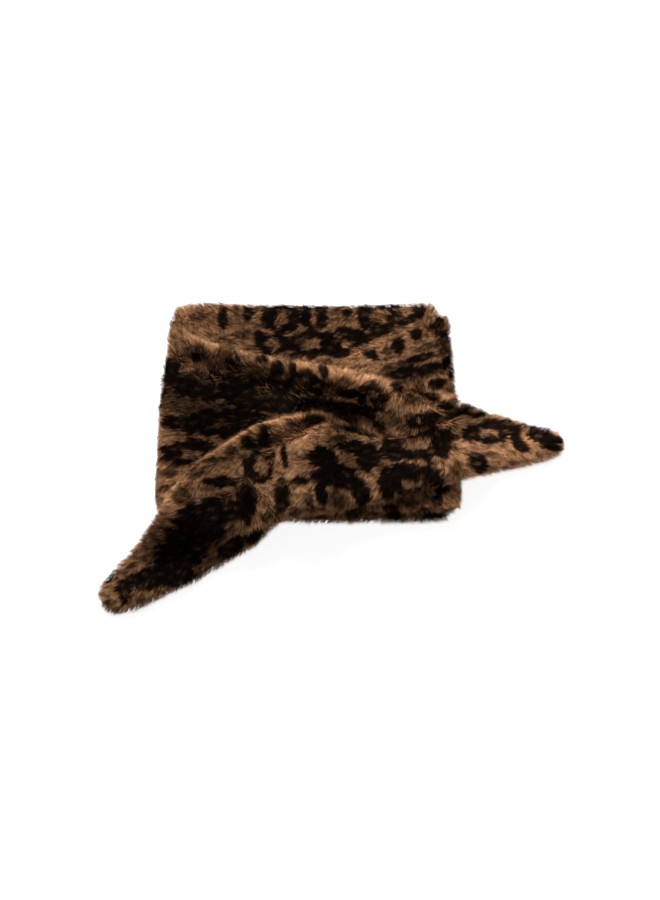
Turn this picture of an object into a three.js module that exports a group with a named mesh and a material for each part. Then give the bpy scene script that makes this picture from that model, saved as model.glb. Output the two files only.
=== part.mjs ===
// Fur collar wrap with pointed ends, pulled through its own slit and laid flat.
// Millimetres, +Z up. +X is the wrap's right as it is looked at from above, +Y its top edge.
// Every stretch of the band that shows is one closed solid that reaches as far as its pile does.
import * as THREE from "three";
import { mergeVertices } from "three/addons/utils/BufferGeometryUtils.js";

const FLOOR = 0;
// free height kept between one layer and what it lies on
const LAYER_GAP = 0.4;
// height of the widest line of a layer's rounded edge, above what the layer lies on
const EDGE_HEIGHT = 5;
// how far in from its edge a layer reaches its full thickness
const EDGE_ROUND = 15;
// how far in from its edge a layer's underside lies down
const UNDER_ROUND = 5;
// how strongly the plan grid is drawn towards a layer's ends and sides
const END_PULL = 0.7;
const SIDE_PULL = 0.75;
// a narrow point is no thicker than these shares of its width, in all and at its edge
const POINT_THICKNESS = 0.75;
const POINT_EDGE = 0.4;

// Supports: a height map of the layers below, on a square grid
const CELL = 2;
const MAP_HALF = 220;
const MAP_SIDE = Math.round((2 * MAP_HALF) / CELL);
// a cell this far outside a triangle, as a share of it, still counts as inside
const SIDE_SLACK = 0.02;
// a layer clears what is this near in plan, and slopes down over the longer reach
const CLEAR_REACH = 9;
const SLOPE_REACH = 15;
const SLOPE_BLUR = 10;
// the upper side of a layer follows what is below it more softly
const TOP_BLUR = 8;
// a folded end wraps down round the layers below: how near to them, from how far in, over what blend
const WRAP_CLEAR = 4;
const WRAP_REACH = 9;
const WRAP_BLEND = 9;
// how far in from a folded end its widest line leaves half height
const WRAP_EDGE = 8;
// least thickness of a layer over a step below it
const LEAST_THICKNESS = 8;

// Each row is one cross-section of a stretch: its lower and its upper edge point in plan.
const BACK_SECTIONS = [
  { lower: [-127, -37], upper: [-127.6, 108] },
  { lower: [-122, -45.6], upper: [-124.4, 119] },
  { lower: [-106, -50.8], upper: [-112, 124.2] },
  { lower: [-60, -52], upper: [-64, 123.8] },
  { lower: [-15, -52.2], upper: [-20, 123.8] },
  { lower: [30, -52.4], upper: [24, 123] },
  { lower: [62, -52.2], upper: [58, 124.6] },
  { lower: [84, -51.8], upper: [74, 124.2] },
  { lower: [92, -51.2], upper: [81.6, 123] },
  { lower: [96, -48], upper: [86.8, 116.4] },
];

const RIGHT_FRONT_SECTIONS = [
  { lower: [-10, 46], upper: [-14, 67] },
  { lower: [1, 43], upper: [-7, 71.5] },
  { lower: [12, 38.5], upper: [1, 75.5] },
  { lower: [18.8, 28], upper: [11, 80] },
  { lower: [19.4, 6], upper: [22, 85] },
  { lower: [20, -18], upper: [33, 89.8] },
  { lower: [24, -38], upper: [45, 95.4] },
  { lower: [38, -43], upper: [57, 101] },
  { lower: [60, -42.6], upper: [70, 107.4] },
  { lower: [80, -43.8], upper: [82, 114.6] },
  { lower: [96.6, -45.6], upper: [88.4, 115.6] },
  { lower: [103.4, -31], upper: [93.6, 104] },
];

const LEFT_FRONT_SECTIONS = [
  { lower: [-139.4, -29], upper: [-128.2, 103] },
  { lower: [-136, -42], upper: [-123.4, 112.4] },
  { lower: [-129, -48.6], upper: [-115, 102] },
  { lower: [-115, -50], upper: [-104, 94.4] },
  { lower: [-95, -50], upper: [-87, 88.6] },
  { lower: [-72, -50], upper: [-71, 85] },
  { lower: [-48, -48], upper: [-57, 82] },
  { lower: [-37, -36], upper: [-47, 80] },
  { lower: [-32, -12], upper: [-39, 78.4] },
  { lower: [-29.5, 15], upper: [-31, 77] },
  { lower: [-26, 36.5], upper: [-21, 75] },
  { lower: [-14, 39.6], upper: [-8, 72.8] },
  { lower: [2, 38.2], upper: [6, 70.2] },
  { lower: [16, 32.6], upper: [20, 67.2] },
  { lower: [29, 29], upper: [36, 63.2] },
  { lower: [45, 21], upper: [54, 58.4] },
  { lower: [57, 16.8], upper: [70, 54] },
  { lower: [70, 23], upper: [84, 50.2] },
  { lower: [82, 30], upper: [94, 47.6] },
  { lower: [91, 35], upper: [100, 46] },
];

const PULLED_TAIL_SECTIONS = [
  { lower: [-180.6, -121.6], upper: [-186, -109] },
  { lower: [-168, -124.8], upper: [-183.4, -101.2] },
  { lower: [-151, -120.6], upper: [-175, -90.6] },
  { lower: [-130, -110], upper: [-162, -76] },
  { lower: [-107.6, -99], upper: [-148.8, -61.8] },
  { lower: [-85, -86], upper: [-135.2, -44] },
  { lower: [-66, -72.6], upper: [-119, -12] },
  { lower: [-50, -60], upper: [-100, 1] },
  { lower: [-36, -48.4], upper: [-80, 14] },
  { lower: [-22, -46], upper: [-59, 27.4] },
  { lower: [-10, -45], upper: [-38, 32.8] },
  { lower: [0, -44], upper: [-18, 35.8] },
  { lower: [10, -43], upper: [0, 34] },
  { lower: [17.6, -36], upper: [14, 26] },
];

const RIGHT_TAIL_SECTIONS = [
  { lower: [-45, -30], upper: [-42, 1] },
  { lower: [-40, -44], upper: [-37.6, 12] },
  { lower: [-28, -46.6], upper: [-26, 19.4] },
  { lower: [-14, -44.6], upper: [-12.6, 25] },
  { lower: [0, -42.4], upper: [1, 28.6] },
  { lower: [14, -40], upper: [15, 27.4] },
  { lower: [27, -37.6], upper: [28, 22.8] },
  { lower: [40, -35], upper: [43, 17.6] },
  { lower: [53, -31.6], upper: [56, 15] },
  { lower: [67, -26.8], upper: [70, 20.6] },
  { lower: [80, -22.8], upper: [84.6, 28] },
  { lower: [92, -20.8], upper: [95.6, 37.8] },
  { lower: [102, -18], upper: [103, 41.4] },
  { lower: [112, -16.2], upper: [112, 38.8] },
  { lower: [123, -14], upper: [121, 36.2] },
  { lower: [134, -12], upper: [131, 35.2] },
  { lower: [148, -9], upper: [144, 31.2] },
  { lower: [163, -5.2], upper: [160, 26.2] },
  { lower: [176, -1.8], upper: [174.4, 23] },
  { lower: [183.2, 2.4], upper: [182.4, 20] },
  { lower: [186, 8], upper: [186, 14.4] },
];

// Folds of the cloth: a soft trough (depth over 0) or ridge (depth under 0) along a straight line.
const RIGHT_FRONT_FOLDS = [{ from: [30, 82], to: [92, 96], depth: 1.4, width: 7 }];
const LEFT_FRONT_FOLDS = [
  { from: [-114, 90], to: [-20, 66], depth: -3, width: 9 },
  { from: [-20, 66], to: [88, 44], depth: -3, width: 9 },
  { from: [-112, 72], to: [-34, 52], depth: 3.6, width: 11 },
  { from: [-6, 46], to: [56, 24], depth: 4, width: 9 },
  { from: [-128, -18], to: [-122, -42], depth: -2, width: 10 },
];
const PULLED_TAIL_FOLDS = [
  { from: [-24, 28], to: [-62, 20], depth: -3, width: 8 },
  { from: [-62, 20], to: [-92, 0], depth: -3, width: 8 },
  { from: [-92, 0], to: [-114, -24], depth: -2.4, width: 8 },
  { from: [-67, -12], to: [-40, -44], depth: -3.4, width: 6 },
  { from: [-67, -12], to: [-78, -28], depth: -2.6, width: 6 },
  { from: [-67, -34], to: [-60, -52], depth: 3.6, width: 8 },
  { from: [-92, -40], to: [-104, -58], depth: 2, width: 8 },
  { from: [-150, -88], to: [-104, -62], depth: 1.8, width: 8 },
];
const RIGHT_TAIL_FOLDS = [
  { from: [-42, -28], to: [-37, 10], depth: 7, width: 14 },
  { from: [-14, 20], to: [24, 20], depth: 1.8, width: 8 },
  { from: [58, 8], to: [118, 26], depth: 2.4, width: 6 },
  { from: [20, -18], to: [58, -6], depth: 2, width: 8 },
  { from: [60, -8], to: [150, 8], depth: -1.6, width: 12 },
];

// The crease where the left front and the right tail lie snugly, so that both stay full up to it:
// how far in from their edges they reach their thickness, and how high their widest lines are.
const SNUG_CREASE = { from: [60, 19], to: [103, 43], width: 13 };
const SNUG_ROUND = 5;
const SNUG_EDGE_HEIGHT = 9.5;

/** One long edge in plan: a smooth curve through that edge's point of each section. */
function edgeCurve(sections, side) {
  const points = sections.map((row) => new THREE.Vector3(row[side][0], row[side][1], 0));
  return new THREE.CatmullRomCurve3(points, false, "centripetal");
}

/** 0..1 with its steps drawn towards both ends, where a layer rounds off. */
function crowded(index, count, pull) {
  const share = index / count;
  return share - (pull * Math.sin(2 * Math.PI * share)) / (2 * Math.PI);
}

/** 1 up to the given reach, then falling to 0 over the given length. */
function fading(distance, reach, length) {
  return 1 - Math.min(Math.max((distance - reach) / length, 0), 1);
}

/** Between two values by a share. */
function blend(from, to, share) {
  return from + (to - from) * share;
}

/** Quarter-circle rise from 0 at an edge to 1 at the given reach. */
function roundRise(distance, reach) {
  const rest = 1 - Math.min(Math.max(distance / reach, 0), 1);
  return Math.sqrt(1 - rest * rest);
}

function distanceToLine(x, y, from, to) {
  const dx = to[0] - from[0];
  const dy = to[1] - from[1];
  const along = ((x - from[0]) * dx + (y - from[1]) * dy) / (dx * dx + dy * dy);
  const t = Math.min(Math.max(along, 0), 1);
  return Math.hypot(x - from[0] - t * dx, y - from[1] - t * dy);
}

/** How near a plan point is to a snug crease, from 0 to 1. */
function snugness(snug, x, y) {
  if (!snug) return 0;
  const away = distanceToLine(x, y, snug.from, snug.to) / snug.width;
  return Math.exp(-away * away);
}

/** Depth of all folds at a plan point. */
function foldDepth(folds, x, y) {
  let depth = 0;
  for (const fold of folds) {
    const away = distanceToLine(x, y, fold.from, fold.to) / fold.width;
    depth += fold.depth * Math.exp(-away * away);
  }
  return depth;
}

function cellOf(coordinate) {
  return (coordinate + MAP_HALF) / CELL;
}

/** Writes the highest point of every triangle into the map's cells. */
function drawTop(map, layer, keep) {
  const { index, position } = layer;
  const a = new THREE.Vector3();
  const b = new THREE.Vector3();
  const c = new THREE.Vector3();
  const bary = new THREE.Vector3();
  const spot = new THREE.Vector3();
  for (let i = 0; i < index.length; i += 3) {
    a.fromArray(position, 3 * index[i]);
    b.fromArray(position, 3 * index[i + 1]);
    c.fromArray(position, 3 * index[i + 2]);
    const firstX = Math.floor(cellOf(Math.min(a.x, b.x, c.x)));
    const lastX = Math.ceil(cellOf(Math.max(a.x, b.x, c.x)));
    const firstY = Math.floor(cellOf(Math.min(a.y, b.y, c.y)));
    const lastY = Math.ceil(cellOf(Math.max(a.y, b.y, c.y)));
    const heights = [a.z, b.z, c.z];
    a.z = b.z = c.z = 0;
    for (let row = firstY; row <= lastY; row++) {
      for (let column = firstX; column <= lastX; column++) {
        spot.set(column * CELL - MAP_HALF, row * CELL - MAP_HALF, 0);
        if (!keep(spot.x, spot.y)) continue;
        if (!THREE.Triangle.getBarycoord(spot, a, b, c, bary)) continue;
        if (Math.min(bary.x, bary.y, bary.z) < -SIDE_SLACK) continue;
        const height = bary.x * heights[0] + bary.y * heights[1] + bary.z * heights[2];
        const cell = row * MAP_SIDE + column;
        map[cell] = Math.max(map[cell], height);
      }
    }
  }
}

/** A map filtered along rows, then along columns, by a function of each cell's neighbours. */
function filtered(map, reach, start, gather, finish) {
  const cells = Math.round(reach / CELL);
  let from = map;
  for (const stride of [1, MAP_SIDE]) {
    const to = new Float64Array(from.length);
    for (let i = 0; i < from.length; i++) {
      let value = start;
      for (let step = -cells; step <= cells; step++) {
        const at = i + step * stride;
        value = gather(value, at < 0 || at >= from.length ? 0 : from[at]);
      }
      to[i] = finish(value, 2 * cells + 1);
    }
    from = to;
  }
  return from;
}

function spread(map, reach) {
  return filtered(map, reach, 0, Math.max, (value) => value);
}

function blurred(map, reach) {
  return filtered(map, reach, 0, (sum, value) => sum + value, (sum, count) => sum / count);
}

/** The map's height at a plan point, between its four nearest cells. */
function heightAt(map, x, y) {
  const column = Math.floor(cellOf(x));
  const row = Math.floor(cellOf(y));
  const right = cellOf(x) - column;
  const up = cellOf(y) - row;
  const cell = row * MAP_SIDE + column;
  const lower = map[cell] * (1 - right) + map[cell + 1] * right;
  const upper = map[cell + MAP_SIDE] * (1 - right) + map[cell + MAP_SIDE + 1] * right;
  return lower * (1 - up) + upper * up;
}

/** Maps of the layers below: wide for an underside, softer for a top, close for an end that wraps down. */
function supportMaps(supports) {
  const map = new Float64Array(MAP_SIDE * MAP_SIDE);
  for (const support of supports) drawTop(map, support.layer, support.keep ?? (() => true));
  const near = spread(map, CLEAR_REACH);
  const slope = blurred(spread(map, SLOPE_REACH), SLOPE_BLUR);
  const clear = near.map((height, cell) => Math.max(height, slope[cell]));
  return { clear, soft: blurred(clear, TOP_BLUR), wrapped: spread(map, WRAP_CLEAR) };
}

/**
 * One stretch of the band as a closed layer: a top and an underside over the same plan grid,
 * meeting in a rounded edge all round. A folded end keeps the height of both its layers.
 */
function makeLayer({ sections, along, across, thickness, supports, folds = [], foldedEnd, snug }) {
  const lowerEdge = edgeCurve(sections, "lower");
  const upperEdge = edgeCurve(sections, "upper");
  const { clear, soft, wrapped } = supportMaps(supports);
  const top = [];
  const under = [];
  const lengths = [0];
  const middles = [];
  for (let i = 0; i <= along; i++) {
    const t = crowded(i, along, END_PULL);
    middles.push(lowerEdge.getPoint(t).add(upperEdge.getPoint(t)).multiplyScalar(0.5));
    if (i) lengths.push(lengths[i - 1] + middles[i].distanceTo(middles[i - 1]));
  }
  const fullLength = lengths[along];
  for (let i = 0; i <= along; i++) {
    const t = crowded(i, along, END_PULL);
    const low = lowerEdge.getPoint(t);
    const high = upperEdge.getPoint(t);
    const width = low.distanceTo(high);
    for (let j = 0; j <= across; j++) {
      const v = crowded(j, across, SIDE_PULL);
      const spot = low.clone().lerp(high, v);
      const toSide = Math.min(v, 1 - v) * width;
      const toStart = lengths[i];
      const toFinish = fullLength - lengths[i];
      const toEnd = Math.min(toStart, toFinish);
      const snugly = snugness(snug, spot.x, spot.y);
      const round = blend(EDGE_ROUND, SNUG_ROUND, snugly);
      const rise = roundRise(toSide, Math.min(round, width / 2)) * roundRise(toEnd, round);
      const underRise = roundRise(toSide, Math.min(UNDER_ROUND, width / 2)) * roundRise(toEnd, UNDER_ROUND);
      const toFold = foldedEnd?.side === "start" ? toStart : toFinish;
      const wrapping = foldedEnd ? fading(toFold, WRAP_REACH, WRAP_BLEND) : 0;
      const rest = blend(heightAt(clear, spot.x, spot.y), heightAt(wrapped, spot.x, spot.y), wrapping);
      const base = rest + (rest > LAYER_GAP ? LAYER_GAP : FLOOR);
      const plump = Math.min(thickness, POINT_THICKNESS * width);
      const level = heightAt(soft, spot.x, spot.y) + plump - foldDepth(folds, spot.x, spot.y);
      let crest = Math.max(level, base + Math.min(LEAST_THICKNESS, plump));
      const edgeHeight = blend(EDGE_HEIGHT, SNUG_EDGE_HEIGHT, snugly);
      let edge = base + Math.min(edgeHeight, POINT_EDGE * plump * (1 + snugly));
      if (foldedEnd) {
        crest = Math.max(crest, foldedEnd.height * fading(toFold, foldedEnd.reach, foldedEnd.reach));
        edge = blend(edge, Math.max(foldedEnd.height / 2, edge), fading(toFold, 0, WRAP_EDGE));
      }
      top.push([spot.x, spot.y, edge + (crest - edge) * rise]);
      under.push([spot.x, spot.y, edge + (base - edge) * underRise]);
    }
  }
  return closedLayer(top, under, along, across);
}

/** Joins the two plan grids into one closed mesh with its faces pointing out. */
function closedLayer(top, under, along, across) {
  const position = new Float32Array([...top, ...under].flat());
  const index = [];
  const row = across + 1;
  for (let i = 0; i < along; i++) {
    for (let j = 0; j < across; j++) {
      const corner = i * row + j;
      index.push(corner, corner + row, corner + row + 1, corner, corner + row + 1, corner + 1);
      const below = corner + top.length;
      index.push(below, below + row + 1, below + row, below, below + 1, below + row + 1);
    }
  }
  return { position, index };
}

function layerMesh(name, layer, colour) {
  const loose = new THREE.BufferGeometry();
  loose.setAttribute("position", new THREE.BufferAttribute(layer.position, 3));
  loose.setIndex(layer.index);
  const geometry = mergeVertices(loose, 1e-3);
  geometry.computeVertexNormals();
  const material = new THREE.MeshStandardMaterial({ color: colour, roughness: 0.9, metalness: 0 });
  const mesh = new THREE.Mesh(geometry, material);
  mesh.name = name;
  return mesh;
}

// Thicknesses: two skins with their pile on both sides, pressed where other layers lie on them
const BACK_THICKNESS = 14;
const FRONT_THICKNESS = 14;
const LEFT_FRONT_THICKNESS = 15;
const TAIL_THICKNESS = 15;
const FOLD_REACH = 14;

const back = makeLayer({
  sections: BACK_SECTIONS,
  along: 20,
  across: 18,
  thickness: BACK_THICKNESS,
  supports: [],
});

const rightFront = makeLayer({
  sections: RIGHT_FRONT_SECTIONS,
  along: 22,
  across: 18,
  thickness: FRONT_THICKNESS,
  supports: [{ layer: back }],
  folds: RIGHT_FRONT_FOLDS,
  foldedEnd: { side: "finish", height: BACK_THICKNESS + FRONT_THICKNESS, reach: FOLD_REACH },
});

const leftFront = makeLayer({
  sections: LEFT_FRONT_SECTIONS,
  along: 44,
  across: 16,
  thickness: LEFT_FRONT_THICKNESS,
  supports: [{ layer: back }, { layer: rightFront }],
  folds: LEFT_FRONT_FOLDS,
  foldedEnd: { side: "start", height: BACK_THICKNESS + LEFT_FRONT_THICKNESS, reach: FOLD_REACH },
  snug: SNUG_CREASE,
});

// the tail lies on the left front only to the left of the slit that it comes out of
const SLIT_X = -18;
const pulledTail = makeLayer({
  sections: PULLED_TAIL_SECTIONS,
  along: 36,
  across: 16,
  thickness: TAIL_THICKNESS,
  supports: [{ layer: back }, { layer: leftFront, keep: (x) => x < SLIT_X }],
  folds: PULLED_TAIL_FOLDS,
});

const rightTail = makeLayer({
  sections: RIGHT_TAIL_SECTIONS,
  along: 40,
  across: 14,
  thickness: TAIL_THICKNESS,
  supports: [{ layer: back }, { layer: rightFront }, { layer: pulledTail }],
  folds: RIGHT_TAIL_FOLDS,
  snug: SNUG_CREASE,
});

const group = new THREE.Group();
group.add(layerMesh("back_neck_band", back, 0x6f5238));
group.add(layerMesh("right_front_band", rightFront, 0x7a5a3e));
group.add(layerMesh("left_front_band", leftFront, 0x5c432f));
group.add(layerMesh("pulled_tail", pulledTail, 0x7a5a3e));
group.add(layerMesh("right_tail", rightTail, 0x8a6848));

// the origin is the middle of the whole outline, on the surface that the wrap lies on
const box = new THREE.Box3().setFromObject(group);
group.position.set(-(box.min.x + box.max.x) / 2, -(box.min.y + box.max.y) / 2, -box.min.z);
group.updateMatrixWorld(true);

export default group;
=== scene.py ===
"""Fur collar wrap, laid flat: turned tubes of faux fur with a spotted print, and the stage they lie on."""
import math
from collections import namedtuple

import bmesh
import bpy
import numpy as np
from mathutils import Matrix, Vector
from mathutils.bvhtree import BVHTree
from mathutils.kdtree import KDTree


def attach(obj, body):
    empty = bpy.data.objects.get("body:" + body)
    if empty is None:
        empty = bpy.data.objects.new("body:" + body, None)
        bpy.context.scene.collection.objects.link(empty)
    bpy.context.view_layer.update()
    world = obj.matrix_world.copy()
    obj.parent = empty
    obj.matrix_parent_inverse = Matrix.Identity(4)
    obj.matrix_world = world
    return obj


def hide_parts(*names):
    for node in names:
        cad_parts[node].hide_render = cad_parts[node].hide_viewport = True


bl_info = {
    "name": "Fur Collar Wrap",
    "version": (1, 0, 0),
    "blender": (4, 5, 0),
    "location": "3D View > Sidebar > Fur Wrap",
    "description": "Builds a spotted faux-fur collar wrap on its frame",
    "category": "Object",
}

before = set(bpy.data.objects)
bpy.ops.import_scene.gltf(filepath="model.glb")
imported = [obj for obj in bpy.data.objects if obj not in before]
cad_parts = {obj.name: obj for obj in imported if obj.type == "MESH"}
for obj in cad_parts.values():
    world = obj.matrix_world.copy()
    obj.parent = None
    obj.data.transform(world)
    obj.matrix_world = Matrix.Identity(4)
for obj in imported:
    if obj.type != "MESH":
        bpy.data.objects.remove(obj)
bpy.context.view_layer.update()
MM = 0.001

# The stretches of the band, from the lowest up: what each lies on, its cut in metres along the band and all
# round the tube, and how many strands its pile has, which is more where more of it shows
Stretch = namedtuple("Stretch", "node rests_on length around strands")
STRETCHES = (
    Stretch("back_neck_band", ("floor",), 0.216, 0.348, 54000),
    Stretch("right_front_band", ("back_neck_band_skin",), 0.112, 0.250, 46000),
    Stretch("left_front_band", ("back_neck_band_skin", "right_front_band_skin"), 0.258, 0.149, 65000),
    Stretch("pulled_tail", ("left_front_band_skin", "floor"), 0.262, 0.138, 65000),
    Stretch("right_tail", ("pulled_tail_skin", "right_front_band_skin", "floor"), 0.232, 0.108, 65000),
)

# Soft folds pressed into each skin, in millimetres: a trough where depth is over 0, a ridge under 0
Fold = namedtuple("Fold", "from_x from_y to_x to_y depth width")
FOLDS = {
    "back_neck_band": (
        Fold(-100, 104, -40, 100, 1.2, 8),
        Fold(-30, 108, 40, 103, 1.0, 7),
        Fold(-70, 40, 60, 30, 0.8, 12),
    ),
    "right_front_band": (
        Fold(40, 84, 94, 92, 1.4, 6),
        Fold(50, 66, 100, 78, 1.2, 6),
        Fold(60, -34, 100, -30, 0.8, 5),
    ),
    "left_front_band": (
        Fold(-121, 90, -96, 66, 1.8, 6),
        Fold(-112, 100, -92, 80, -1.4, 7),
        Fold(-96, 62, -30, 52, 1.6, 9),
        Fold(-134, 34, -104, 38, 0.9, 6),
        Fold(-134, 8, -96, 12, 1.1, 7),
        Fold(-20, 64, 60, 50, -1.2, 8),
        Fold(-132, -26, -112, -34, -1.6, 8),
    ),
    "pulled_tail": (
        Fold(-68, -13, -44, -46, 1.6, 5),
        Fold(-67, -12, -78, -30, 1.4, 4),
        Fold(-60, -16, -38, -44, -1.2, 5),
        Fold(-100, -30, -130, -66, 1.2, 8),
        Fold(-92, 0, -60, 20, -0.9, 6),
        Fold(-150, -96, -110, -72, 1.0, 7),
    ),
    "right_tail": (
        Fold(-30, 14, -28, -36, -1.2, 8),
        Fold(10, 20, 50, -6, 1.1, 7),
        Fold(60, 4, 120, 24, 1.2, 6),
        Fold(70, -12, 140, 2, -0.8, 8),
        Fold(130, 26, 176, 12, 0.7, 6),
    ),
}

# The crease where the left front and the right tail lie snugly, with less pile between their skins
CREASE = Fold(60, 19, 103, 44, 0.7, 11)

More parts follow.
